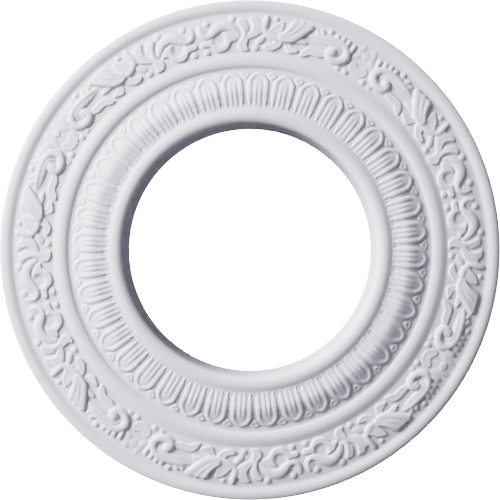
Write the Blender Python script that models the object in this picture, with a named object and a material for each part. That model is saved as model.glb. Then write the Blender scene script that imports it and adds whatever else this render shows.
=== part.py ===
# A ring-shaped ceiling rose, moulded in one piece and left in its white primer.
# It hangs as it does in use: the flat back is the plane z = 0, against the ceiling, and the carved
# face looks down. The bore, the rolls and the rim are turned, the leaf band repeats forty times,
# and the scroll frieze repeats four times, each quarter being one half and its mirror image.
import math

import bmesh
import bpy
from mathutils import Vector
from mathutils.geometry import delaunay_2d_cdt

MM = 0.001  # the driving sizes below are in millimetres and degrees

# Driving sizes of the turned mouldings. A depth is measured down from the ceiling.
OUTER_RADIUS = 103.0
BORE_RADIUS = 50.35  # at the back, where the bore is narrowest
PROJECTION = 16.0
LEAF_BAND_INNER = 57.7
LEAF_BAND_OUTER = 73.7
FRIEZE_INNER = 80.8
FRIEZE_OUTER = 97.0
EDGE_RADIUS = 102.9  # the outer edge is drafted a little towards its front
EDGE_DEPTH = 7.4  # height of the plain outer edge

# The ground between the leaves, from the bore roll out to the crease at the middle roll: radius, depth.
LEAF_BAND_GROUND = [(LEAF_BAND_INNER, 14.95), (59.2, 14.8), (61.0, 14.9), (63.2, 15.0), (64.8, 14.8),
                    (66.5, 14.2), (68.3, 13.35), (70.0, 12.6), (71.2, 12.1), (72.2, 11.8),
                    (LEAF_BAND_OUTER, 11.5)]

# The frieze's ground, a shallow cone that turns down a little towards the rim: radius, depth.
FRIEZE_GROUND = [(FRIEZE_INNER, 11.0), (91.0, 10.05), (FRIEZE_OUTER, 8.9)]

# The roll round the bore, the middle roll and the rim: radius, depth.
BORE_ROLL = [(51.1, 13.2), (51.7, 14.9), (52.8, 15.7), (54.2, PROJECTION), (56.3, 15.6)]
MIDDLE_ROLL = [(74.6, 12.0), (76.4, 12.4), (78.9, 11.8)]
RIM = [(98.3, 9.2), (99.8, 9.4), (101.8, 8.7), (EDGE_RADIUS, EDGE_DEPTH)]

# Angles are clockwise from +Y as the face is looked at from below.
LEAF_COUNT = 40
FIRST_LEAF = 2.9
FRIEZE_REPEATS = 4
FIRST_AXIS = 31.0
BORE_SIDES = 2 * LEAF_COUNT
RIM_SIDES = 72

# Heights of the carving above its ground.
LEAF_RIM = 0.8
LEAF_TONGUE = 0.55
SCROLL = 1.25
SPRAY = 1.3
STEM = 0.95
FRINGE = 0.7
LEAFLET = 0.65
RING = 0.75
BEAD = 0.6
PALMETTE = 0.35

STROKE_STEP = 3.3  # how far apart the facets of a carved stroke lie
WELD = 0.12  # carving lines that come closer than this share a point


def turned(bearing, radius, depth):
    """A point of the rose from its clockwise bearing in degrees, its radius and its depth."""
    angle = math.radians(bearing)
    return Vector((-radius * math.sin(angle) * MM, radius * math.cos(angle) * MM, -depth * MM))


def flat(bearing, radius):
    """The same bearing and radius as a point of the plane, in millimetres."""
    angle = math.radians(bearing)
    return Vector((radius * math.sin(angle), radius * math.cos(angle)))


def polar(point):
    """Bearing and radius of a point of the plane."""
    return math.degrees(math.atan2(point.x, point.y)), point.length


def between(table, value):
    """Straight-line reading of a table of (value, result) pairs."""
    for (v0, r0), (v1, r1) in zip(table, table[1:]):
        if value <= v1:
            share = (value - v0) / (v1 - v0)
            return r0 + share * (r1 - r0)
    return table[-1][1]


def frieze_ground(radius):
    """Depth of the frieze's plain ground."""
    return between(FRIEZE_GROUND, radius)


def leaf_ground(radius):
    """Depth of the leaf band's ground."""
    return between(LEAF_BAND_GROUND, radius)


def smooth_line(knots, step):
    """Even points along a smooth curve through knots of (bearing, radius, half width)."""
    marks = [flat(b, r).to_3d() for b, r, w in knots]
    for mark, knot in zip(marks, knots):
        mark.z = knot[2]
    marks = [2 * marks[0] - marks[1]] + marks + [2 * marks[-1] - marks[-2]]
    fine = []
    for a, b, c, d in zip(marks, marks[1:], marks[2:], marks[3:]):
        for k in range(8):
            t = k / 8
            pull = (c - a) * t + (2 * a - 5 * b + 4 * c - d) * t ** 2 + (3 * b - a - 3 * c + d) * t ** 3
            fine.append(b + pull / 2)
    fine.append(marks[-2])
    lengths = [0.0]
    for p, q in zip(fine, fine[1:]):
        lengths.append(lengths[-1] + (q.xy - p.xy).length)
    count = max(2, round(lengths[-1] / step))
    line = []
    for k in range(count + 1):
        wanted = lengths[-1] * k / count
        i = min(max(j for j, s in enumerate(lengths) if s <= wanted + 1e-9), len(fine) - 2)
        share = (wanted - lengths[i]) / (lengths[i + 1] - lengths[i])
        line.append(fine[i].lerp(fine[i + 1], share))
    return line


class Stroke:
    """A carved ridge: highest along its middle line, and down on the ground at its two feet."""

    def __init__(self, knots, height, step=STROKE_STEP):
        self.line = smooth_line(knots, step)
        self.height = height

    def rise(self, point):
        best = 0.0
        for p, q in zip(self.line, self.line[1:]):
            run = (q - p).xy
            share = min(1.0, max(0.0, (point - p.xy).dot(run) / run.length_squared))
            near = p.lerp(q, share)
            best = max(best, 1.0 - (point - near.xy).length / near.z)
        return best * self.height

    def edges(self):
        left, right = [], []
        for i, p in enumerate(self.line):
            ahead = self.line[min(i + 1, len(self.line) - 1)] - self.line[max(i - 1, 0)]
            side = Vector((-ahead.y, ahead.x)).normalized() * p.z
            left.append(p.xy + side)
            right.append(p.xy - side)
        first, last = self.line[0], self.line[-1]
        start = first.xy + (first.xy - self.line[1].xy).normalized() * first.z
        end = last.xy + (last.xy - self.line[-2].xy).normalized() * last.z
        foot = [start] + left + [end] + right[::-1] + [start]
        return [foot, [p.xy for p in self.line]]


class Leaf:
    """A low leaf with a bevelled edge all round: outline knots and a line of knots along its middle."""

    def __init__(self, outline, middle, height, bevel):
        self.outline = [flat(b, r) for b, r in outline]
        self.middle = [flat(b, r) for b, r in middle]
        self.height = height
        self.bevel = bevel

    def rise(self, point):
        inside = False
        reach = math.inf
        for p, q in zip(self.outline, self.outline[1:] + self.outline[:1]):
            if (p.y > point.y) != (q.y > point.y):
                if point.x < p.x + (q.x - p.x) * (point.y - p.y) / (q.y - p.y):
                    inside = not inside
            run = q - p
            share = min(1.0, max(0.0, (point - p).dot(run) / run.length_squared))
            reach = min(reach, (point - p - run * share).length)
        return self.height * min(1.0, reach / self.bevel) if inside else 0.0

    def edges(self):
        return [self.outline + self.outline[:1], self.middle]


class Bead:
    """A small round boss."""

    def __init__(self, bearing, radius, size, height=BEAD, sides=4):
        self.middle = flat(bearing, radius)
        self.size = size
        self.height = height
        self.sides = sides

    def rise(self, point):
        return self.height * max(0.0, 1.0 - (point - self.middle).length / self.size)

    def edges(self):
        ring = []
        for k in range(self.sides):
            angle = 2 * math.pi * k / self.sides
            ring.append(self.middle + Vector((math.sin(angle), math.cos(angle))) * self.size)
        return [ring + ring[:1], [self.middle]]


def frieze_carving():
    """Half of one repeat of the frieze: bearings run from its first mirror axis, 0, to the next, 45."""
    return [
        # the big scroll: a tail, one turn round the eye, and a bulb inside it
        Stroke([(15.2, 91.2, 0.6), (13.0, 91.6, 1.2), (10.0, 92.2, 1.5), (7.3, 92.2, 1.6), (5.4, 91.0, 1.6),
                (4.4, 89.2, 1.6), (4.4, 86.9, 1.6), (5.6, 85.0, 1.6), (7.4, 84.6, 1.6), (8.9, 85.6, 1.8),
                (8.7, 87.5, 2.1)], SCROLL),
        # the row of beads over the scroll, and the small ones below it
        Bead(3.7, 93.7, 1.1),
        Bead(5.4, 94.5, 1.1),
        Bead(7.0, 94.9, 1.1),
        Bead(8.5, 94.9, 1.1),
        Bead(10.5, 95.5, 1.2),
        Stroke([(11.8, 93.9, 1.0), (13.9, 94.2, 1.0)], BEAD, 4.0),
        Bead(2.8, 82.3, 1.2),
        Bead(5.3, 82.1, 1.1),
        # three leaves hanging below the scroll's tail
        Leaf([(10.2, 85.9), (12.8, 86.3), (14.7, 85.9), (15.8, 84.8), (16.6, 81.9), (16.0, 81.4),
              (13.6, 83.3), (11.9, 83.3), (9.9, 84.2)],
             [(12.2, 84.8), (14.4, 84.3), (15.6, 82.9)], LEAFLET, 1.2),
        Leaf([(19.8, 85.6), (19.3, 84.5), (17.4, 84.0), (17.2, 82.8), (20.2, 81.7), (21.4, 84.5)],
             [(18.6, 83.1), (20.2, 83.5)], LEAFLET, 1.0),
        Leaf([(21.8, 84.9), (24.4, 81.8), (26.5, 82.0), (27.2, 83.4), (26.4, 84.3), (24.5, 84.8),
              (24.0, 85.9)],
             [(23.8, 83.9), (25.7, 83.1)], LEAFLET, 1.0),
        Stroke([(16.2, 87.4, 0.9), (18.0, 87.4, 1.0)], LEAFLET, 4.0),
        # the spray: three lobes that sweep down into one spine, which rises again to a round head
        Stroke([(15.7, 94.7, 1.0), (17.0, 91.8, 1.1), (18.5, 89.4, 1.2), (20.5, 87.4, 1.2)], SPRAY),
        Stroke([(17.8, 95.0, 1.0), (18.8, 92.2, 1.0), (20.1, 89.8, 1.1), (21.4, 88.0, 1.2)], SPRAY),
        Stroke([(19.5, 95.0, 1.1), (20.6, 92.5, 1.1), (21.5, 90.0, 1.1), (22.4, 88.2, 1.3)], SPRAY),
        Stroke([(20.8, 87.3, 1.2), (23.4, 86.7, 1.3), (25.6, 87.9, 1.1), (27.0, 89.8, 1.0),
                (27.0, 92.5, 0.9), (26.8, 95.3, 1.0)], 0.8 * SPRAY),
        # the pointed leaf held inside the spine, and its bead
        Leaf([(22.4, 94.3), (22.1, 92.0), (23.2, 89.0), (24.5, 89.0), (26.3, 90.6), (25.2, 92.6),
              (23.6, 94.0)],
             [(23.2, 92.4), (24.3, 90.4)], LEAFLET, 1.1),
        Bead(24.5, 95.2, 1.0),
        # two more lobes facing the spray
        Stroke([(30.2, 94.8, 1.1), (29.2, 92.6, 1.2), (28.9, 90.3, 1.2), (30.2, 88.0, 1.2),
                (31.8, 86.9, 1.0)], FRINGE),
        Stroke([(33.2, 94.0, 1.0), (32.2, 91.6, 1.1), (31.8, 89.2, 1.1), (32.2, 87.0, 1.0)], FRINGE),
        Stroke([(27.6, 86.9, 0.9), (28.8, 84.6, 0.9)], LEAFLET, 3.0),
        Bead(29.4, 82.4, 1.3),
        Leaf([(31.3, 85.9), (32.3, 86.6), (33.4, 85.9), (34.1, 83.9), (33.3, 81.3), (31.8, 81.2),
              (31.8, 83.4)],
             [(32.6, 84.8), (32.9, 82.9)], LEAFLET, 1.1),
        # the stem that swings up and over to the second mirror axis
        Stroke([(33.5, 87.9, 0.9), (34.4, 90.6, 1.3), (36.2, 92.2, 1.8), (38.0, 92.5, 2.0),
                (39.9, 91.2, 1.9), (41.4, 89.0, 1.4), (42.9, 88.3, 1.2), (43.9, 90.0, 1.1),
                (44.0, 93.2, 0.7)], STEM),
        # the ring below it, which stops just short of its mirror image
        Stroke([(37.6, 88.6, 0.8), (36.2, 86.9, 1.1), (37.2, 84.6, 1.3), (38.9, 83.1, 1.4),
                (40.8, 83.9, 1.4), (42.2, 85.3, 1.1), (43.8, 85.7, 1.0)], RING),
        Bead(35.5, 95.1, 1.3),
        Bead(42.0, 94.6, 1.3),
        Bead(43.1, 82.3, 1.3),
        # the low palmette and cup on the first mirror axis
        Leaf([(-0.9, 91.0), (-2.2, 94.6), (-1.0, 95.0), (0.0, 93.8), (1.0, 95.0), (2.2, 94.6), (0.9, 91.0)],
             [(0.0, 92.6), (1.2, 93.8)], PALMETTE, 0.8),
        Leaf([(-1.7, 82.6), (-2.6, 85.0), (-2.2, 87.6), (0.0, 88.4), (2.2, 87.6), (2.6, 85.0), (1.7, 82.6)],
             [(0.0, 84.0), (0.0, 87.2)], PALMETTE, 0.8),
    ]


def clipped(line, low, high):
    """A line of (bearing, radius) points cut to the bearings between low and high."""
    pieces = [[]]
    if len(line) == 1:
        return [line] if low <= line[0][0] <= high else []
    for (b0, r0), (b1, r1) in zip(line, line[1:]):
        if max(b0, b1) <= low or min(b0, b1) >= high:
            pieces.append([])
            continue
        ends = []
        for limit in (low, high):
            if (b0 - limit) * (b1 - limit) < 0:
                share = (limit - b0) / (b1 - b0)
                ends.append((share, (limit, r0 + share * (r1 - r0))))
        inner = [p for share, p in sorted(ends)]
        start = [] if b0 < low or b0 > high else [(b0, r0)]
        stop = [] if b1 < low or b1 > high else [(b1, r1)]
        run = start + inner + stop
        if pieces[-1] and pieces[-1][-1] == run[0]:
            run = run[1:]
        pieces[-1] += run
        if not stop:
            pieces.append([])
    return [piece for piece in pieces if len(piece) > 1]


def tiled(lines, low, high, inner, outer, border_steps, scale):
    """Triangles of one tile of the face, bounded by two bearings and two radii, along the given lines.

    It returns the tile's points as (bearing, radius) pairs and its triangles."""
    points, links = [], []

    def add(line):
        first = len(points)
        points.extend(Vector((b * scale, r)) for b, r in line)
        links.extend((i, i + 1) for i in range(first, len(points) - 1))

    for radius in (inner, outer):
        add([(low + (high - low) * k / border_steps, radius) for k in range(border_steps + 1)])
    for bearing in (low, high):
        add([(bearing, inner), (bearing, outer)])
    for line in lines:
        for piece in clipped(line, low, high):
            add(piece)
    made = delaunay_2d_cdt(points, links, [], 0, WELD)
    return [(p.x / scale, p.y) for p in made[0]], made[2]


class Skin:
    """The closed surface of the rose, gathered tile by tile and ring by ring."""

    def __init__(self):
        self.mesh = bmesh.new()

    def ring(self, first, sides, radius, depth):
        spots = [turned(first + 360 * k / sides, radius, depth) for k in range(sides)]
        return [(first + 360 * k / sides, self.mesh.verts.new(spot)) for k, spot in enumerate(spots)]

    def face(self, verts):
        self.mesh.faces.new(verts)

    def join(self, ring_a, ring_b):
        """A strip between two rings, which may differ in their count and their first bearing."""
        start = min(range(len(ring_b)), key=lambda k: abs((ring_b[k][0] - ring_a[0][0] + 180) % 360 - 180))
        ring_b = ring_b[start:] + ring_b[:start]
        base = ring_a[0][0]
        ups = [(bearing - base + 90) % 360 - 90 for bearing, vert in ring_b]
        ups = ups[:1] + [up % 360 for up in ups[1:]] + [ups[0] + 360]
        outs = [(bearing - base) % 360 for bearing, vert in ring_a] + [360.0]
        i = j = 0
        while i < len(ring_a) or j < len(ring_b):
            a, b = ring_a[i % len(ring_a)][1], ring_b[j % len(ring_b)][1]
            step_a = i < len(ring_a) and (j == len(ring_b) or outs[i + 1] <= ups[j + 1])
            if step_a:
                i += 1
                self.face((a, ring_a[i % len(ring_a)][1], b))
            else:
                j += 1
                self.face((a, ring_b[j % len(ring_b)][1], b))

    def tile(self, points, triangles, depths, bearing, sign):
        """One copy of a tile: turned to its bearing, and mirrored where the sign is -1."""
        spots = [turned(bearing + sign * b, r, depth) for (b, r), depth in zip(points, depths)]
        verts = [self.mesh.verts.new(spot) for spot in spots]
        for triangle in triangles:
            corners = [verts[i] for i in triangle]
            self.face(corners if sign > 0 else corners[::-1])


def add_leaf_band(skin):
    """Forty leaves: each has a raised rim that comes to a point outside, and a tongue inside it."""
    half = 180 / LEAF_COUNT
    foot, rim, hollow = 0.0, LEAF_RIM, 0.45 * LEAF_RIM
    marks = {
        "spandrel": [(half, 60.6, foot), (half, 69.0, foot), (half, 71.0, 0.7 * rim)],
        "outer foot": [(4.0, 59.4, foot), (3.8, 68.0, foot), (2.3, 71.9, foot), (0.0, 72.8, foot)],
        "rim": [(3.2, 59.4, 0.3 * rim), (3.1, 62.4, 0.9 * rim), (2.9, 68.0, rim), (1.9, 70.9, rim),
                (0.0, 71.8, 0.9 * rim)],
        "inner foot": [(2.2, 61.6, hollow), (2.1, 67.6, hollow), (0.0, 70.4, hollow)],
        "tongue": [(0.0, 59.6, 0.3 * LEAF_TONGUE), (1.0, 64.0, LEAF_TONGUE), (0.0, 68.0, LEAF_TONGUE)],
    }
    rises = {(b, r): h for line in marks.values() for b, r, h in line}
    lines = [[(b, r) for b, r, h in line] for line in marks.values()]
    scale = math.radians(LEAF_BAND_OUTER + LEAF_BAND_INNER) / 2
    points, triangles = tiled(lines, 0.0, half, LEAF_BAND_INNER, LEAF_BAND_OUTER, 1, scale)
    depths = []
    for bearing, radius in points:
        rise = max((h for (b, r), h in rises.items() if abs(b - bearing) < 0.01 and abs(r - radius) < 0.01),
                   default=0.0)
        depths.append(leaf_ground(radius) + rise)
    for k in range(LEAF_COUNT):
        for sign in (1, -1):
            skin.tile(points, triangles, depths, FIRST_LEAF + 360 * k / LEAF_COUNT, sign)


def add_frieze(skin):
    """The scroll frieze: eight tiles, every second one mirrored."""
    half = 180 / FRIEZE_REPEATS
    carving = frieze_carving()
    lines = [[polar(point) for point in line] for element in carving for line in element.edges()]
    scale = math.radians(FRIEZE_INNER + FRIEZE_OUTER) / 2
    border_steps = RIM_SIDES // (2 * FRIEZE_REPEATS)
    points, triangles = tiled(lines, 0.0, half, FRIEZE_INNER, FRIEZE_OUTER, border_steps, scale)
    depths = []
    for bearing, radius in points:
        rise = max(element.rise(flat(bearing, radius)) for element in carving)
        depths.append(frieze_ground(radius) + rise)
    for k in range(FRIEZE_REPEATS):
        for sign in (1, -1):
            skin.tile(points, triangles, depths, FIRST_AXIS + 360 * k / FRIEZE_REPEATS, sign)


def add_turned_rings(skin):
    """The bore, the three rolls, the outer edge and the flat back."""
    bore = [(BORE_RADIUS, 0.0)] + BORE_ROLL + [LEAF_BAND_GROUND[0]]
    bore_rings = [skin.ring(FIRST_LEAF, BORE_SIDES, r, depth) for r, depth in bore]
    valley = skin.ring(FIRST_LEAF, BORE_SIDES, *LEAF_BAND_GROUND[-1])
    middle = MIDDLE_ROLL + [FRIEZE_GROUND[0]]
    middle_rings = [valley] + [skin.ring(FIRST_AXIS, RIM_SIDES, r, depth) for r, depth in middle]
    rim = [FRIEZE_GROUND[-1]] + RIM + [(OUTER_RADIUS, 0.0)]
    rim_rings = [skin.ring(FIRST_AXIS, RIM_SIDES, r, depth) for r, depth in rim] + [bore_rings[0]]
    for rings in (bore_rings, middle_rings, rim_rings):
        for ring_a, ring_b in zip(rings, rings[1:]):
            skin.join(ring_a, ring_b)


def primed_foam():
    """White factory primer over moulded rigid foam: matt, very slightly cool."""
    material = bpy.data.materials.new("primed_foam")
    material.use_nodes = True
    shader = material.node_tree.nodes["Principled BSDF"]
    shader.inputs["Base Color"].default_value = (0.80, 0.80, 0.83, 1.0)
    shader.inputs["Roughness"].default_value = 0.6
    shader.inputs["Metallic"].default_value = 0.0
    material.diffuse_color = (0.80, 0.80, 0.83, 1.0)
    return material


def build_rose():
    """The rose as one closed solid."""
    skin = Skin()
    add_turned_rings(skin)
    add_leaf_band(skin)
    add_frieze(skin)
    mesh = skin.mesh
    bmesh.ops.remove_doubles(mesh, verts=mesh.verts, dist=0.002 * MM)
    bmesh.ops.recalc_face_normals(mesh, faces=mesh.faces)
    data = bpy.data.meshes.new("ceiling_rose")
    mesh.to_mesh(data)
    mesh.free()
    data.shade_smooth()
    data.set_sharp_from_angle(angle=math.radians(50))
    data.materials.append(primed_foam())
    rose = bpy.data.objects.new("ceiling_rose", data)
    bpy.context.collection.objects.link(rose)
    return rose


def main():
    for thing in list(bpy.data.objects):
        bpy.data.objects.remove(thing, do_unlink=True)
    build_rose()


main()
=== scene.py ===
import math

import bpy
import numpy as np
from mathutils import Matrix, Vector


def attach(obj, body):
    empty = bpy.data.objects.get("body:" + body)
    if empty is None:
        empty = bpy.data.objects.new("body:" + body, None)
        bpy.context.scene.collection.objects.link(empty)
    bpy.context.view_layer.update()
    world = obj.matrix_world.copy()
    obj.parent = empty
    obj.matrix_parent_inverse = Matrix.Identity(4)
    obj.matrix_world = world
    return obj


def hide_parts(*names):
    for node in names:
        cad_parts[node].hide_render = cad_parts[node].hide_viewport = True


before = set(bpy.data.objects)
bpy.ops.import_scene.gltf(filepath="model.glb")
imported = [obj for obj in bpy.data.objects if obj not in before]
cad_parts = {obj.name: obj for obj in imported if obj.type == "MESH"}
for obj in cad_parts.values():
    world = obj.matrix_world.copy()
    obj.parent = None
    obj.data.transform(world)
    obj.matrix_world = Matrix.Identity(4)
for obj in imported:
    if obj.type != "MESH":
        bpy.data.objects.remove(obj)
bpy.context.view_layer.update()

# A ring-shaped ceiling rose of moulded foam, hung with its face down and seen from straight below.
# Bearings are degrees clockwise from +Y as the face is looked at from below, radii and depths are
# millimetres, and a depth is measured down from the ceiling plane z = 0.

mm = 0.001

# The grid, and the repeats of the two patterns round the ring.
ring = {
    "columns": 1920,        # grid columns all the way round, shared by every moulding
    "rowStep": 0.24,        # mm between the rows of the carved bands
    "firstAxis": 31.0,      # bearing of the scroll pattern's first mirror line
    "scrollRepeats": 4,
    "leafCount": 40,
    "firstLeafStep": -174,  # grid columns from the first mirror line to the edge of a leaf
}
columnAngle = 360 / ring["columns"]


def smoothLine(knots, spans=6, closed=False):
    # a Catmull-Rom curve through rows of numbers, whatever they stand for, with so many spans between two
    k = np.array(knots, float)
    if closed:
        k = np.vstack([k[-1], k, k[0], k[1]])
    else:
        k = np.vstack([2 * k[0] - k[1], k, 2 * k[-1] - k[-2]])
    t = np.linspace(0, 1, spans, endpoint=False)[:, None]
    curve = []
    for a, b, c, d in zip(k, k[1:], k[2:], k[3:]):
        pull = (c - a) * t + (2 * a - 5 * b + 4 * c - d) * t ** 2 + (3 * b - a - 3 * c + d) * t ** 3
        curve.append(b + pull / 2)
    return np.vstack(curve + [k[-2:-1]])


def onFace(rows):
    # (bearing, radius, ...) rows as flat x, y in millimetres, with the rest kept
    rows = np.array(rows, float)
    angle = np.radians(rows[:, 0])
    radius = rows[:, 1].copy()
    rows[:, 0] = radius * np.sin(angle)
    rows[:, 1] = radius * np.cos(angle)
    return rows


def distances(x, y, line):
    # how far every grid spot is from each stretch of a line, and where along the stretch
    start, run = line[:-1], np.diff(line, axis=0)
    length = np.maximum((run[:, :2] ** 2).sum(axis=1), 1e-9)
    dx, dy = x[..., None] - start[:, 0], y[..., None] - start[:, 1]
    along = np.clip((dx * run[:, 0] + dy * run[:, 1]) / length, 0, 1)
    return np.hypot(dx - along * run[:, 0], dy - along * run[:, 1]), along


def dome(share, fullness):
    # 1 in the middle, 0 at a share of 1: rounder walls with a lower fullness
    return np.maximum(1 - share ** 2, 0) ** fullness


def ridgeField(x, y, knots, fullness=0.45):
    # a rounded ridge along its knots of (bearing, radius, half width, height)
    line = smoothLine(onFace(knots))
    away, along = distances(x, y, line)
    half = line[:-1, 2] + along * np.diff(line[:, 2])
    high = line[:-1, 3] + along * np.diff(line[:, 3])
    nearest = (away / half).argmin(axis=-1)[..., None]
    away, half, high = [np.take_along_axis(v, nearest, -1)[..., 0] for v in (away, half, high)]
    return np.where(away < half, high * dome(away / half, fullness), half - away)


def outlineAway(x, y, outline):
    # distance to a closed outline: above 0 inside it, below 0 outside
    line = smoothLine(onFace(outline), 5, closed=True)
    away = distances(x, y, line)[0].min(axis=-1)
    a, b = line[:-1], line[1:]
    rise = np.where(b[:, 1] == a[:, 1], 1e-9, b[:, 1] - a[:, 1])
    crossing = (a[:, 1] > y[..., None]) != (b[:, 1] > y[..., None])
    left = x[..., None] < a[:, 0] + (b[:, 0] - a[:, 0]) * (y[..., None] - a[:, 1]) / rise
    inside = (crossing & left).sum(axis=-1) % 2 == 1
    return np.where(inside, away, -away), line


def leafField(x, y, outline, height, wall, sink, fullness=0.5):
    # a low plateau with rounded walls, a little sunk in its middle; a pair of heights leans it from its
    # first knot to the one halfway round
    away, line = outlineAway(x, y, outline)
    if isinstance(height, tuple):
        first, last = line[0, :2], line[len(line) // 2, :2]
        axis = last - first
        t = ((x - first[0]) * axis[0] + (y - first[1]) * axis[1]) / (axis ** 2).sum()
        height = height[0] + (height[1] - height[0]) * np.clip(t, 0, 1)
    top = height * dome(1 - np.clip(away / wall, 0, 1), fullness)
    dipWidth = 1.2 * wall
    dip = np.clip((away - wall) / dipWidth, 0, 1)
    return np.where(away > 0, top - sink * dip ** 2 * (3 - 2 * dip), away)


def beadField(x, y, bearing, radius, size, height):
    # a round drop of the given radius
    centre = onFace([(bearing, radius)])[0]
    away = np.hypot(x - centre[0], y - centre[1])
    return np.where(away < size, height * dome(away / size, 0.6), size - away)


def blendMax(a, b, reach=0.15):
    # the higher of two surfaces, with a small fillet of about the given reach
    h = np.maximum(reach - np.abs(a - b), 0) / reach
    return np.maximum(a, b) + h * h * reach / 4


def carve(x, y, carving):
    # the relief of a list of carved forms above plain ground, in millimetres; each form is added over those
    # before it, and only a hollow or a groove cuts down into them
    relief = np.zeros_like(x)
    for form, *sizes in carving:
        if form == "ridge":
            relief = blendMax(relief, ridgeField(x, y, *sizes))
        elif form == "leaf":
            relief = blendMax(relief, leafField(x, y, *sizes))
        elif form == "bead":
            relief = blendMax(relief, beadField(x, y, *sizes))
        elif form == "hollow":
            outline, slope = sizes
            wall = np.maximum(-outlineAway(x, y, outline)[0], 0) * slope
            relief = np.minimum(relief, wall)
        elif form == "groove":
            knots, depth = sizes
            relief = relief - depth * np.maximum(ridgeField(x, y, [(*k, 1.0) for k in knots], 1.0), 0)
    return relief


def softened(relief):
    # the primer rounds every edge: a small blur, mirrored at the sides of the tile, and none of the relief
    # is left on the first and last rows, where the neighbouring mouldings begin
    wide = np.pad(relief, 1, mode="reflect")
    wide = (wide[:-2] + 2 * wide[1:-1] + wide[2:]) / 4
    relief = (wide[:, :-2] + 2 * wide[:, 1:-1] + wide[:, 2:]) / 4
    relief[0] = 0
    relief[-1] = 0
    return relief


def profileCurve(knots, step):
    # even rows along a smooth profile of (radius, depth)
    fine = smoothLine(knots, 12)
    lengths = np.concatenate([[0], np.cumsum(np.hypot(*np.diff(fine, axis=0).T))])
    count = max(2, round(lengths[-1] / step))
    wanted = np.linspace(0, lengths[-1], count + 1)
    return np.stack([np.interp(wanted, lengths, fine[:, i]) for i in (0, 1)], axis=1)


# Mouldings: plain profiles as (radius, depth), carvings as (bearing from the mirror line, radius, ...).
turned = {
    "boreRadius": 50.35,       # at the back, where the bore is narrowest
    "boreRoll": [(51.1, 13.2), (51.25, 14.0), (51.6, 14.75), (52.1, 15.27), (52.8, 15.67), (53.5, 15.9),
                 (54.2, 15.99), (55.3, 15.92), (56.3, 15.65), (57.0, 15.35), (57.7, 15.08)],
    "leafGround": [(57.7, 15.08), (58.3, 14.95), (59.0, 14.87), (61.0, 14.88), (63.2, 14.92), (64.8, 14.72),
                   (66.5, 14.18), (68.3, 13.42), (70.0, 12.7), (71.2, 12.2), (72.0, 11.88), (72.6, 11.74),
                   (73.2, 11.7)],
    "middleRoll": [(73.2, 11.7), (73.6, 11.69), (73.9, 11.62), (74.15, 11.66), (74.45, 11.88), (74.9, 12.15),
                   (75.4, 12.32), (76.0, 12.42), (76.6, 12.44), (77.5, 12.35), (78.4, 12.11), (79.2, 11.8),
                   (80.0, 11.44), (80.55, 11.21), (81.0, 11.13)],
    "friezeGround": [(81.0, 11.13), (82.5, 10.98), (86.0, 10.6), (91.0, 10.07), (94.0, 9.5), (96.0, 9.05),
                     (97.0, 8.9)],
    "rim": [(97.0, 8.9), (97.4, 8.93), (98.2, 9.17), (99.0, 9.35), (99.8, 9.4), (100.6, 9.3), (101.4, 9.08),
            (102.1, 8.75), (102.6, 8.35), (102.9, 7.7)],
    "backRadius": 102.98,
    "rollStep": 0.36,          # mm between the rows of the plain mouldings
    "cutEdge": 40,             # degrees of turn above which an edge stays crisp, as the two of the back do
}

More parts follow.
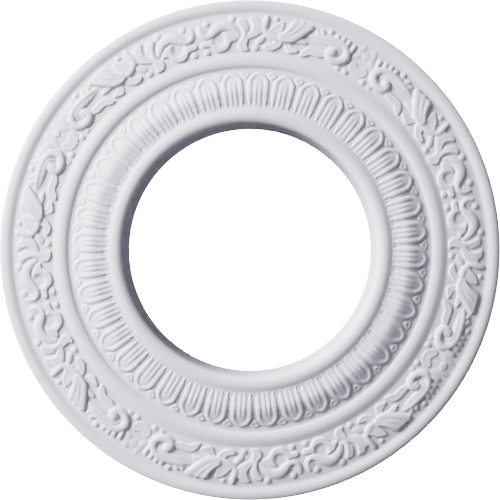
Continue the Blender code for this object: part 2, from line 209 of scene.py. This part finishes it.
# Each form is one of these, with its bearings, radii, widths and heights:
#   leaf    outline, height or pair of heights, width of its wall, sink of its middle
#   ridge   knots of bearing, radius, half width and height, then its fullness where it isn't the usual
#   bead    bearing, radius, size, height
#   hollow  outline cut down to the ground, slope of its walls
#   groove  knots of bearing, radius and half width, then its depth
friezeCarving = [
    # the ring below the stem, its outer edge first
    ("leaf", [(34.6, 85.6), (35.2, 85.3), (36, 85.1), (36.35, 84.2), (36.8, 83.1), (37.5, 82.1),
             (38.4, 81.5), (39.5, 81.3), (40.4, 81.6), (41.1, 82.4), (41.7, 83.5), (42.3, 84.2),
             (43.2, 84.3), (44.2, 84.5), (44.6, 85.6), (44.2, 86.6), (43.2, 86.9), (41.9, 87.0),
             (41.2, 87.9), (39.8, 89.1), (38.6, 89.7), (37.6, 89.5), (36.2, 88.9), (35.1, 87.6),
             (34.4, 86.4)], 0.71, 0.55, 0.0),
    # the eye of the ring
    ("hollow", [(38.7, 89.7), (38.6, 88.6), (38.3, 87.6), (38.15, 86.4), (38.4, 85.5), (39, 85.0),
               (39.6, 85.1), (40.2, 85.5), (40.5, 86.2), (40.7, 87.2), (40.8, 88.6), (40, 90.1)], 0.5),
    # the big scroll: its tail, one turn round the eye, and the round head inside it
    ("ridge", [(15.6, 90.8, 0.4, 0.19), (14.2, 91.3, 1.0, 0.69), (12.8, 91.7, 1.3, 0.98),
              (10.2, 92.1, 1.5, 1.08), (7.5, 92.1, 1.6, 1.1), (5.8, 91.2, 1.6, 1.12),
              (4.75, 89.5, 1.7, 1.15), (4.45, 87.5, 1.8, 1.2), (5, 85.9, 1.7, 1.23),
              (6.2, 84.7, 1.7, 1.23), (7.6, 84.5, 1.7, 1.23), (8.7, 85.3, 1.9, 1.27),
              (8.8, 86.5, 2.1, 1.29), (8.3, 87.7, 2.2, 1.29)]),
    # the dimple in the scroll's head
    ("groove", [(6.9, 87.7, 0.6), (7.5, 87.7, 0.6)], 0.3),
    # a lower rib along the tail
    ("ridge", [(15.2, 90.6, 0.8, 0.2), (13.6, 90.5, 1.3, 0.5), (12, 90.5, 1.6, 0.72),
              (10, 90.7, 1.75, 0.85), (8.4, 90.7, 1.7, 0.92), (7.2, 90.1, 1.4, 0.9), (6.6, 89.3, 1.1, 0.7),
              (6.4, 88.4, 0.9, 0.4)]),
    # lobes of the fringe over the scroll
    ("ridge", [(4, 90.5, 1.0, 0.7), (3.8, 92.2, 1.0, 0.78), (3.75, 93.5, 1.1, 0.7)]),
    ("ridge", [(5.55, 92.7, 1.1, 0.88), (5.4, 94.0, 1.2, 0.75)]),
    ("ridge", [(7, 93.4, 1.3, 0.88), (6.9, 94.4, 1.2, 0.78)]),
    ("ridge", [(8.35, 93.5, 1.2, 0.88), (8.45, 94.4, 1.2, 0.75)]),
    ("ridge", [(12.2, 93.4, 1.1, 0.78), (12.55, 94.1, 1.1, 0.7)]),
    ("ridge", [(13.3, 92.6, 1.1, 0.75), (13.8, 93.5, 1.1, 0.65)]),
    ("bead", 10.45, 95.3, 1.3, 0.7),
    # drops under the scroll
    ("bead", 2.9, 82.4, 1.4, 0.54),
    ("bead", 5.3, 82.3, 1.3, 0.4),
    # bud beside the spray
    ("leaf", [(15.3, 87.5), (16.1, 88.5), (17, 88.9), (18, 88.2), (19, 87.0), (18.3, 86.6), (17, 86.5),
             (16, 86.8)], 0.59, 0.48, 0.0),
    # long leaf under the tail
    ("leaf", [(10.3, 86.2), (12, 86.3), (14, 86.3), (15.1, 85.9), (15.9, 84.9), (16.4, 83.7),
             (16.75, 82.5), (16.75, 81.6), (16.1, 81.4), (15, 81.9), (14.3, 82.6), (13.6, 83.1),
             (12.5, 83.1), (11.5, 83.1), (10.6, 83.6), (9.5, 84.6)], 0.62, 0.42, 0.05),
    # leaf under the spray, to its left
    ("leaf", [(20.7, 86.8), (21.7, 85.8), (21.45, 84.8), (21.15, 83.7), (20.85, 82.6), (20.3, 81.8),
             (19.5, 81.6), (18.5, 82.1), (17.4, 82.7), (17.15, 83.5), (17.6, 84.1), (18.5, 84.5),
             (19.3, 85.0), (19.6, 85.8)], (0.25, 0.71), 0.48, 0.05),
    # leaf under the spray, to its right
    ("leaf", [(23, 86.9), (24.3, 86.4), (24.7, 85.1), (25.1, 84.6), (25.8, 84.4), (26.65, 84.0),
             (27.15, 83.4), (26.95, 82.5), (26, 81.7), (24.6, 81.5), (23.9, 82.0), (23, 82.9),
             (22.4, 83.8), (22, 85.0), (21.9, 86.2)], (0.54, 0.75), 0.48, 0.06),
    # the spray of three lobes
    ("leaf", [(14.7, 94.2), (15.05, 93.4), (15.6, 92.2), (16.2, 90.9), (16.8, 89.7), (17.6, 88.4),
             (18.5, 87.1), (19.5, 86.1), (21, 85.6), (22.4, 85.6), (23.4, 86.4), (23.4, 87.6),
             (23, 88.6), (22.2, 89.4), (21.7, 90.3), (21.3, 91.5), (20.95, 93.1), (20.6, 94.4),
             (20.1, 95.4), (19.3, 95.7), (18.5, 95.5), (17.8, 95.7), (16.9, 95.4), (16.1, 95.6),
             (15.1, 95.3)], (1.0, 1.25), 0.55, 0.0),
    ("ridge", [(15.8, 94.6, 1.2, 1.05), (16.4, 93.1, 1.3, 1.16), (17.1, 91.8, 1.3, 1.23),
              (17.9, 90.3, 1.3, 1.27), (18.9, 88.8, 1.3, 1.29), (20.1, 87.5, 1.3, 1.25),
              (21.6, 86.9, 1.2, 1.14)]),
    ("ridge", [(17.7, 94.8, 1.2, 1.14), (18.15, 93.5, 1.2, 1.25), (18.7, 92.2, 1.2, 1.3),
              (19.45, 90.8, 1.2, 1.34), (20.45, 89.4, 1.2, 1.33), (21.5, 88.2, 1.1, 1.25)]),
    ("ridge", [(19.4, 94.8, 1.2, 1.2), (19.85, 93.6, 1.3, 1.32), (20.35, 92.2, 1.3, 1.38),
              (20.95, 90.7, 1.3, 1.42), (21.8, 89.4, 1.2, 1.31), (22.9, 88.3, 1.1, 1.14)]),
    # its stem, which rises again to a head of its own
    ("ridge", [(21.2, 87.2, 1.5, 1.04), (22.6, 87.1, 1.5, 0.98), (24, 87.2, 1.5, 0.96),
              (25.3, 87.7, 1.5, 0.94), (26.4, 88.7, 1.4, 0.86), (27.1, 90.0, 1.4, 0.86),
              (27.2, 91.4, 1.4, 0.92), (27, 92.9, 1.4, 0.98), (26.8, 94.4, 1.3, 0.95),
              (26.7, 95.5, 1.1, 0.85)]),
    # pointed leaf held between them
    ("leaf", [(22.35, 94.4), (23.1, 94.2), (24, 93.6), (24.8, 92.7), (25.3, 91.8), (25.7, 90.9),
             (26.3, 89.9), (26.2, 88.6), (24.8, 87.7), (23.2, 87.7), (22.7, 89.5), (22.35, 90.7),
             (22.15, 92.3), (22.2, 93.6)], (0.62, 0.81), 0.54, 0.11),
    ("bead", 24.35, 95.1, 1.2, 0.59),
    # first lobe facing the spray
    ("leaf", [(27.4, 93.3), (28.3, 93.8), (28.9, 94.8), (29.6, 95.5), (30.6, 95.6), (31.2, 94.9),
             (30.85, 93.5), (30.5, 91.9), (30.5, 90.5), (30.9, 89.6), (31.4, 88.8), (32.4, 87.3),
             (32, 86.1), (31.2, 85.9), (30, 86.6), (29, 87.3), (28.1, 88.4),
             (27.5, 89.5)], 0.59, 0.48, 0.0),
    ("ridge", [(30.3, 94.4, 0.9, 0.67), (29.95, 93.0, 0.8, 0.69), (29.75, 91.3, 0.8, 0.69),
              (30, 90.0, 0.8, 0.67)]),
    ("ridge", [(29.3, 93.8, 0.6, 0.67), (28.95, 92.3, 0.7, 0.67), (28.8, 90.7, 0.7, 0.67),
              (29.1, 89.3, 0.7, 0.67), (29.9, 88.1, 0.8, 0.67)]),
    # second lobe
    ("leaf", [(33, 94.8), (33.9, 94.6), (34.5, 93.7), (34.2, 92.8), (33.65, 91.7), (33.3, 90.4),
             (33.15, 88.8), (33.2, 87.3), (33, 86.2), (32, 86.0), (31.6, 87.2), (31.5, 88.8),
             (31.2, 90.3), (31.35, 91.7), (31.7, 93.1), (32.2, 94.3)], 0.52, 0.54, 0.0),
    ("ridge", [(33.6, 93.8, 1.1, 0.62), (33.1, 92.5, 1.1, 0.64), (32.7, 90.9, 1.1, 0.69),
              (32.45, 89.2, 1.1, 0.79), (32.5, 87.7, 1.1, 0.79), (32.8, 86.6, 1.0, 0.69)]),
    # drops under the lobes
    ("ridge", [(27.4, 86.8, 1.2, 0.56), (28, 85.9, 1.4, 0.64), (28.6, 85.0, 1.3, 0.56)]),
    ("bead", 29.35, 82.4, 1.5, 0.59),
    ("leaf", [(31.35, 85.9), (31.5, 84.6), (31.7, 83.1), (31.3, 81.8), (31.6, 81.0), (32.6, 80.8),
             (33.5, 81.3), (34.2, 82.3), (34.5, 83.5), (34.3, 85.0), (33.6, 86.0), (32.7, 86.8),
             (31.9, 86.5)], 0.67, 0.54, 0.05),
    # the stem that swings over to the second mirror line
    ("ridge", [(34, 87.9, 1.1, 0.48), (34.7, 89.5, 1.4, 0.61), (35.7, 91.0, 1.7, 0.73),
              (37, 92.1, 2.1, 0.85), (38.5, 92.2, 2.2, 0.93), (39.9, 90.9, 2.0, 0.93),
              (41, 89.4, 1.6, 0.89), (42.1, 88.6, 1.3, 0.87), (43.1, 88.9, 1.2, 0.8),
              (43.75, 90.1, 1.1, 0.71), (43.9, 91.7, 1.1, 0.58), (43.8, 93.3, 0.9, 0.44)]),
    ("ridge", [(43, 90.9, 1.0, 0.33), (43.05, 92.9, 0.9, 0.25)]),
    ("bead", 35.4, 94.9, 1.6, 0.64),
    ("bead", 42.0, 94.1, 1.5, 0.64),
    ("bead", 43.1, 82.2, 1.5, 0.59),
    # low cup on the first mirror line
    ("leaf", [(0, 86.5), (0.9, 87.3), (1.7, 88.0), (2.5, 87.4), (2.8, 86.4), (2.7, 85.0), (2.1, 83.4),
             (1, 82.6), (0, 82.4), (-1, 82.6), (-2.1, 83.4), (-2.7, 85.0), (-2.8, 86.4), (-2.5, 87.4),
             (-1.7, 88.0), (-0.9, 87.3)], 0.37, 0.55, 0.06),
    # low bud above it
    ("leaf", [(0, 94.0), (0.8, 93.6), (1.2, 92.5), (0.8, 91.3), (0, 90.8), (-0.8, 91.3), (-1.2, 92.5),
             (-0.8, 93.6)], 0.37, 0.55, 0.0),
    ("ridge", [(1.5, 95.5, 0.9, 0.23), (1.65, 93.8, 1.3, 0.31), (1.9, 91.7, 1.4, 0.31),
              (2.4, 90.1, 1.1, 0.19)]),
]

leafCarving = [
    # the leaf's raised edge, a wall all round that is highest at the blunt point of its outer end
    ("leaf", [(0.0, 72.5), (0.5, 72.4), (1.1, 72.02), (1.75, 71.35), (2.4, 70.55), (3.0, 69.72),
              (3.38, 68.8), (3.45, 67.3), (3.45, 65.5), (3.45, 63.0), (3.4, 61.0), (0.0, 60.0),
              (-3.4, 61.0), (-3.45, 63.0), (-3.45, 65.5), (-3.45, 67.3), (-3.38, 68.8), (-3.0, 69.72),
              (-2.4, 70.55), (-1.75, 71.35), (-1.1, 72.02), (-0.5, 72.4)], (0.72, 0.1), 0.45, 0.2),
    # the body of the leaf, fullest halfway along
    ("ridge", [(0.0, 59.3, 1.9, 0.14), (0.0, 62.0, 2.4, 0.34), (0.0, 65.5, 2.5, 0.52),
               (0.0, 67.5, 2.3, 0.49), (0.0, 69.3, 1.8, 0.4), (0.0, 70.0, 1.4, 0.32)], 0.6),
    # its tongue of two ribs, parted by a crease
    ("ridge", [(0.8, 58.6, 0.7, 0.22), (0.82, 61.0, 0.8, 0.39), (0.82, 64.3, 0.8, 0.58),
               (0.7, 67.6, 0.7, 0.53)]),
    ("groove", [(0.0, 59.0, 0.5), (0.0, 63.0, 0.5), (0.0, 67.8, 0.4)], 0.08),
    # the rounded rim inside the wall, straight up the sides and then leaning in to the point
    ("ridge", [(3.25, 58.6, 0.6, 0.18), (3.15, 60.0, 0.9, 0.34), (2.95, 62.8, 1.15, 0.44),
               (2.9, 65.0, 1.15, 0.52), (2.9, 67.0, 1.1, 0.62), (2.8, 68.6, 1.0, 0.7),
               (2.3, 69.8, 0.95, 0.74), (1.55, 70.8, 0.9, 0.76), (0.8, 71.35, 0.8, 0.77),
               (0.3, 71.55, 0.75, 0.77), (0.0, 71.58, 0.75, 0.77)]),
    # the crease at its side, deepest at the foot
    ("groove", [(3.8, 59.2, 0.5), (3.95, 61.0, 0.45), (3.8, 64.0, 0.35)], 0.1),
    ("groove", [(3.75, 58.9, 0.5), (3.85, 59.8, 0.5)], 0.25),
    # the broad tip of a leaf behind, between each two, with a dimple
    ("leaf", [(4.5, 72.75), (5.3, 72.5), (6.05, 71.95), (6.25, 71.4), (5.75, 70.6), (5.2, 69.8),
              (4.5, 69.35), (3.8, 69.8), (3.25, 70.6), (2.75, 71.4), (2.95, 71.95),
              (3.7, 72.5)], 0.47, 0.85, 0.0),
    ("groove", [(4.2, 71.15, 0.65), (4.8, 71.15, 0.65)], 0.22),
]


def addSkin(name, bearings, radii, depths, close=False):
    # a grid of quads: bearings by column, radii and depths by row and column
    rows, columns = depths.shape
    angle = np.radians(bearings)[None, :]
    points = np.stack([-radii * np.sin(angle), radii * np.cos(angle), -depths], axis=-1) * mm
    index = np.arange(rows * columns).reshape(rows, columns)
    nextIndex = np.roll(index, -1, axis=1) if close else index[:, 1:]
    index = index if close else index[:, :-1]
    quads = np.stack([index[:-1], index[1:], nextIndex[1:], nextIndex[:-1]], axis=-1).reshape(-1, 4)
    mesh = bpy.data.meshes.new(name)
    mesh.from_pydata(points.reshape(-1, 3), [], quads)
    mesh.shade_smooth()
    piece = bpy.data.objects.new(name, mesh)
    bpy.context.collection.objects.link(piece)
    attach(piece, "root")
    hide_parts("ceiling_rose")
    return piece


def columnBearings(firstColumn, count):
    # bearings of so many grid columns, counted from the scroll pattern's first mirror line
    return ring["firstAxis"] + columnAngle * (firstColumn + np.arange(count))


def buildTurnedPieces(face, back):
    # the mouldings that are the same all the way round, as if turned on a lathe
    everywhere = columnBearings(0, ring["columns"])

    def turnedSkin(name, rows):
        radii = np.repeat(rows[:, :1], ring["columns"], axis=1)
        depths = np.repeat(rows[:, 1:], ring["columns"], axis=1)
        return addSkin(name, everywhere, radii, depths, close=True)

    plain = [profileCurve(turned["rim"], turned["rollStep"]),
             np.array([(turned["backRadius"], 0.0), (turned["boreRadius"], 0.0)]),
             profileCurve(turned["boreRoll"], turned["rollStep"])]
    outer = turnedSkin("rimBackAndBoreRoll", np.vstack(plain))
    middle = turnedSkin("middleRoll", profileCurve(turned["middleRoll"], turned["rollStep"]))
    for piece in (outer, middle):
        piece.data.materials.append(face)
    outer.data.materials.append(back)
    outer.data.set_sharp_from_angle(angle=math.radians(turned["cutEdge"]))
    backHeight = 0.01 * mm
    for polygon in outer.data.polygons:
        if all(abs(outer.data.vertices[v].co.z) < backHeight for v in polygon.vertices):
            polygon.material_index = 1    # the bare back
    return outer, middle


def mirrored(half):
    # a half tile and its mirror image on the other side of the mirror line
    return np.concatenate([half[:, :0:-1], half], axis=1)


def carvedHalf(knots, halfColumns, carving):
    # half a tile of a carved band, from its mirror line to its side: radii and depths by row and column
    ground = smoothLine(knots, 12)
    inner, outer = ground[0, 0], ground[-1, 0]
    bearing = columnAngle * np.arange(halfColumns + 1)
    radius = np.linspace(inner, outer, round((outer - inner) / ring["rowStep"]) + 1)
    bearings, radii = np.meshgrid(bearing, radius)
    flat = onFace(np.stack([bearings.ravel(), radii.ravel()], axis=1))
    x, y = flat[:, 0].reshape(radii.shape), flat[:, 1].reshape(radii.shape)
    return radii, np.interp(radii, ground[:, 0], ground[:, 1]) + softened(carve(x, y, carving))


def buildFrieze(face):
    # one tile of scrolls, its mirror line in the middle, set side by side all the way round
    halfColumns = ring["columns"] // (2 * ring["scrollRepeats"])
    radii, depths = carvedHalf(turned["friezeGround"], halfColumns, friezeCarving)
    radii, depths = mirrored(radii), mirrored(depths)
    for k in range(ring["scrollRepeats"]):
        bearings = columnBearings((2 * k - 1) * halfColumns, 2 * halfColumns + 1)
        piece = addSkin(f"scrollFrieze{k + 1}", bearings, radii, depths)
        piece.data.materials.append(face)


def buildLeafBand(face):
    # one leaf, set side by side as many times as half the ring takes, and that twice
    perLeaf = ring["columns"] // ring["leafCount"]
    radii, depths = carvedHalf(turned["leafGround"], perLeaf // 2, leafCarving)
    leaf = mirrored(depths)[:, :-1]
    half = ring["leafCount"] // 2
    depths = np.concatenate([leaf] * half + [leaf[:, :1]], axis=1)
    radii = np.repeat(radii[:, :1], depths.shape[1], axis=1)
    for k, name in enumerate(("leafBandFirstHalf", "leafBandSecondHalf")):
        bearings = columnBearings(ring["firstLeafStep"] + k * half * perLeaf, depths.shape[1])
        piece = addSkin(name, bearings, radii, depths)
        piece.data.materials.append(face)


# Finishes.
def hexColour(text):
    # an sRGB hex colour as the linear one that the shaders take
    parts = [int(text[i:i + 2], 16) / 255 for i in (1, 3, 5)]
    return tuple(p / 12.92 if p <= 0.04045 else ((p + 0.055) / 1.055) ** 2.4 for p in parts) + (1.0,)


def node(tree, kind, settings=None, **links):
    # one node with its settings and what its sockets are linked to; _ in a name stands for a space
    made = tree.nodes.new(kind)
    for name, value in (settings or {}).items():
        if hasattr(made, name):
            setattr(made, name, value)
        else:
            made.inputs[name.replace("_", " ")].default_value = value
    for name, source in links.items():
        tree.links.new(source, made.inputs[name.replace("_", " ")])
    return made


primer = {
    "colour": "#E5E4EE",       # white factory primer, faintly cool
    "thinColour": "#E0DFEA",   # where it was sprayed a little thinner
    "roughness": 0.5,
    "roughnessSpread": 0.05,   # either way, between the patches
    "ior": 1.5,                # acrylic paint
    "cloudSize": 9.0,          # mm across a patch of thicker or thinner primer
    "peelSize": 0.9,           # mm between the bumps of its orange peel
    "peelHeight": 0.02,        # mm
    "peelStrength": 0.6,
}


def primedFoam():
    # moulded rigid polyurethane foam under sprayed white primer: dead matt, soft edges, hardly any grain
    material = bpy.data.materials.new("primedFoam")
    material.use_nodes = True
    tree = material.node_tree
    shader = tree.nodes["Principled BSDF"]
    shader.inputs["Metallic"].default_value = 0.0
    shader.inputs["IOR"].default_value = primer["ior"]
    where = node(tree, "ShaderNodeTexCoord").outputs["Object"]
    clouds = node(tree, "ShaderNodeTexNoise", {"Scale": 1 / (primer["cloudSize"] * mm), "Detail": 3.0},
                  Vector=where)
    tint = node(tree, "ShaderNodeMix", {"data_type": "RGBA"}, Factor=clouds.outputs["Fac"])
    tint.inputs[6].default_value = hexColour(primer["thinColour"])
    tint.inputs[7].default_value = hexColour(primer["colour"])
    tree.links.new(tint.outputs[2], shader.inputs["Base Color"])
    sheen = node(tree, "ShaderNodeMapRange", {"To_Min": primer["roughness"] - primer["roughnessSpread"],
                                              "To_Max": primer["roughness"] + primer["roughnessSpread"]},
                 Value=clouds.outputs["Fac"])
    tree.links.new(sheen.outputs["Result"], shader.inputs["Roughness"])
    peel = node(tree, "ShaderNodeTexNoise", {"Scale": 1 / (primer["peelSize"] * mm), "Detail": 2.0},
                Vector=where)
    bump = node(tree, "ShaderNodeBump", {"Strength": primer["peelStrength"],
                                         "Distance": primer["peelHeight"] * mm},
                Height=peel.outputs["Fac"])
    tree.links.new(bump.outputs["Normal"], shader.inputs["Normal"])
    return material


bareBack = {
    "colour": "#EEEBE4",       # bare foam skin, a little warmer than the primer
    "roughness": 0.75,
    "ior": 1.5,                # polyurethane
    "cellSize": 1.2,           # mm across a foam cell on the skimmed back
    "cellHeight": 0.06,        # mm
    "cellStrength": 0.5,
}


def skimmedFoam():
    # the same foam left bare on the glued side: skimmed flat, so its closed cells show as a fine dull grain
    material = bpy.data.materials.new("skimmedFoam")
    material.use_nodes = True
    tree = material.node_tree
    shader = tree.nodes["Principled BSDF"]
    shader.inputs["Base Color"].default_value = hexColour(bareBack["colour"])
    shader.inputs["Metallic"].default_value = 0.0
    shader.inputs["Roughness"].default_value = bareBack["roughness"]
    shader.inputs["IOR"].default_value = bareBack["ior"]
    where = node(tree, "ShaderNodeTexCoord").outputs["Object"]
    cells = node(tree, "ShaderNodeTexVoronoi", {"Scale": 1 / (bareBack["cellSize"] * mm)}, Vector=where)
    bump = node(tree, "ShaderNodeBump", {"Strength": bareBack["cellStrength"],
                                         "Distance": bareBack["cellHeight"] * mm},
                Height=cells.outputs["Distance"])
    tree.links.new(bump.outputs["Normal"], shader.inputs["Normal"])
    return material


# Studio.
studio = {
    "cameraBelow": 0.45,       # m from the ceiling plane to the lens
    "focalPixels": 1075.5,     # in pixels of a frame that is 500 of them wide
    "frame": 500,
    "floorBelow": 1.3,         # m
    "floorReach": 12.0,        # m from its middle to each side
    "floorColour": "#D9D9D9",
    "floorRoughness": 0.9,
    "keyFrom": (0.87, 0.5, -0.45),     # towards the light, which rakes the face from the upper left
    "keyStrength": 7.4,
    "keyAngle": 38.0,                  # degrees across, so its shadows are soft
    "topStrength": 3.0,                # a second light, straight from above, for the back and the floor
    "topAngle": 2.0,
    "frontColour": (0.985, 0.975, 1.0),
    "frontStrength": 0.13,             # fill from straight below
    "frontFrom": 0.35,                 # where it fades out, as the downward part of a direction
    "sideColour": (0.975, 0.96, 1.0),
    "sideStrength": 0.08,
    "aboveStrength": 0.04,
    "horizonBlend": 0.1,
    "backdropStrength": 18.0,          # white behind the rose, seen by the camera alone
}


def buildCamera(scene):
    # below the rose and looking straight up, with the top of the photograph towards +Y
    cameraData = bpy.data.cameras.new("camera")
    cameraData.sensor_fit = "HORIZONTAL"
    cameraData.angle = 2 * math.atan(studio["frame"] / 2 / studio["focalPixels"])
    camera = bpy.data.objects.new("camera", cameraData)
    camera.location = (0.0, 0.0, -studio["cameraBelow"])
    camera.rotation_euler = (math.pi, 0.0, math.pi)
    scene.collection.objects.link(camera)
    scene.camera = camera


def buildSun(scene, name, fromWhere, strength, angle):
    data = bpy.data.lights.new(name, "SUN")
    data.energy = strength
    data.angle = math.radians(angle)
    lamp = bpy.data.objects.new(name, data)
    lamp.rotation_euler = Vector(fromWhere).to_track_quat("Z", "Y").to_euler()
    scene.collection.objects.link(lamp)


def paleFloor():
    # painted plaster: matt, even and pale, so that it stays behind the rose
    material = bpy.data.materials.new("paleFloor")
    material.use_nodes = True
    shader = material.node_tree.nodes["Principled BSDF"]
    shader.inputs["Base Color"].default_value = hexColour(studio["floorColour"])
    shader.inputs["Roughness"].default_value = studio["floorRoughness"]
    return material


def buildFloor(scene):
    mesh = bpy.data.meshes.new("floor")
    side, z = studio["floorReach"], -studio["floorBelow"]
    corners = [(-side, -side, z), (side, -side, z), (side, side, z), (-side, side, z)]
    mesh.from_pydata(corners, [], [(0, 1, 2, 3)])
    mesh.materials.append(paleFloor())
    floor = bpy.data.objects.new("floor", mesh)
    scene.collection.objects.link(floor)
    floor.visible_diffuse = False    # so far below that nothing of it reaches the rose
    floor.visible_shadow = False


def buildWorld(scene):
    # a faint cool fill from below and from the sides, and a white backdrop for the camera
    world = bpy.data.worlds.new("studio")
    scene.world = world
    world.use_nodes = True
    tree = world.node_tree
    tree.nodes.clear()
    way = node(tree, "ShaderNodeTexCoord").outputs["Generated"]
    axes = node(tree, "ShaderNodeSeparateXYZ", None, Vector=way)
    below = node(tree, "ShaderNodeMath", {"operation": "MULTIPLY"})
    tree.links.new(axes.outputs["Z"], below.inputs[0])
    below.inputs[1].default_value = -1.0
    spread = node(tree, "ShaderNodeMapRange", {"interpolation_type": "SMOOTHSTEP",
                                               "From_Min": studio["frontFrom"], "From_Max": 1.0},
                  Value=below.outputs[0])
    front = node(tree, "ShaderNodeBackground", {"Color": (*studio["frontColour"], 1.0),
                                                "Strength": studio["frontStrength"]})
    side = node(tree, "ShaderNodeBackground", {"Color": (*studio["sideColour"], 1.0),
                                               "Strength": studio["sideStrength"]})
    above = node(tree, "ShaderNodeBackground", {"Color": (*studio["sideColour"], 1.0),
                                                "Strength": studio["aboveStrength"]})
    lower = node(tree, "ShaderNodeMixShader", None, Fac=spread.outputs["Result"])
    tree.links.new(side.outputs[0], lower.inputs[1])
    tree.links.new(front.outputs[0], lower.inputs[2])
    horizon = node(tree, "ShaderNodeMapRange", {"From_Min": -studio["horizonBlend"],
                                                "From_Max": studio["horizonBlend"]},
                   Value=below.outputs[0])
    lit = node(tree, "ShaderNodeMixShader", None, Fac=horizon.outputs["Result"])
    tree.links.new(above.outputs[0], lit.inputs[1])
    tree.links.new(lower.outputs[0], lit.inputs[2])
    seen = node(tree, "ShaderNodeBackground", {"Color": (1.0, 1.0, 1.0, 1.0),
                                               "Strength": studio["backdropStrength"]})
    path = node(tree, "ShaderNodeLightPath")
    final = node(tree, "ShaderNodeMixShader", None, Fac=path.outputs["Is Camera Ray"])
    tree.links.new(lit.outputs[0], final.inputs[1])
    tree.links.new(seen.outputs[0], final.inputs[2])
    node(tree, "ShaderNodeOutputWorld", None, Surface=final.outputs[0])


def buildStudio():
    scene = bpy.context.scene
    scene.view_settings.view_transform = "Filmic"
    scene.view_settings.look = "High Contrast"
    buildCamera(scene)
    buildSun(scene, "key", studio["keyFrom"], studio["keyStrength"], studio["keyAngle"])
    buildSun(scene, "top", (0.0, 0.0, 1.0), studio["topStrength"], studio["topAngle"])
    buildFloor(scene)
    buildWorld(scene)


face = primedFoam()
back = skimmedFoam()
print("finishes made")
buildTurnedPieces(face, back)
print("plain mouldings made")
buildFrieze(face)
print("scroll frieze made")
buildLeafBand(face)
print("leaf band made")
buildStudio()
print("studio made")
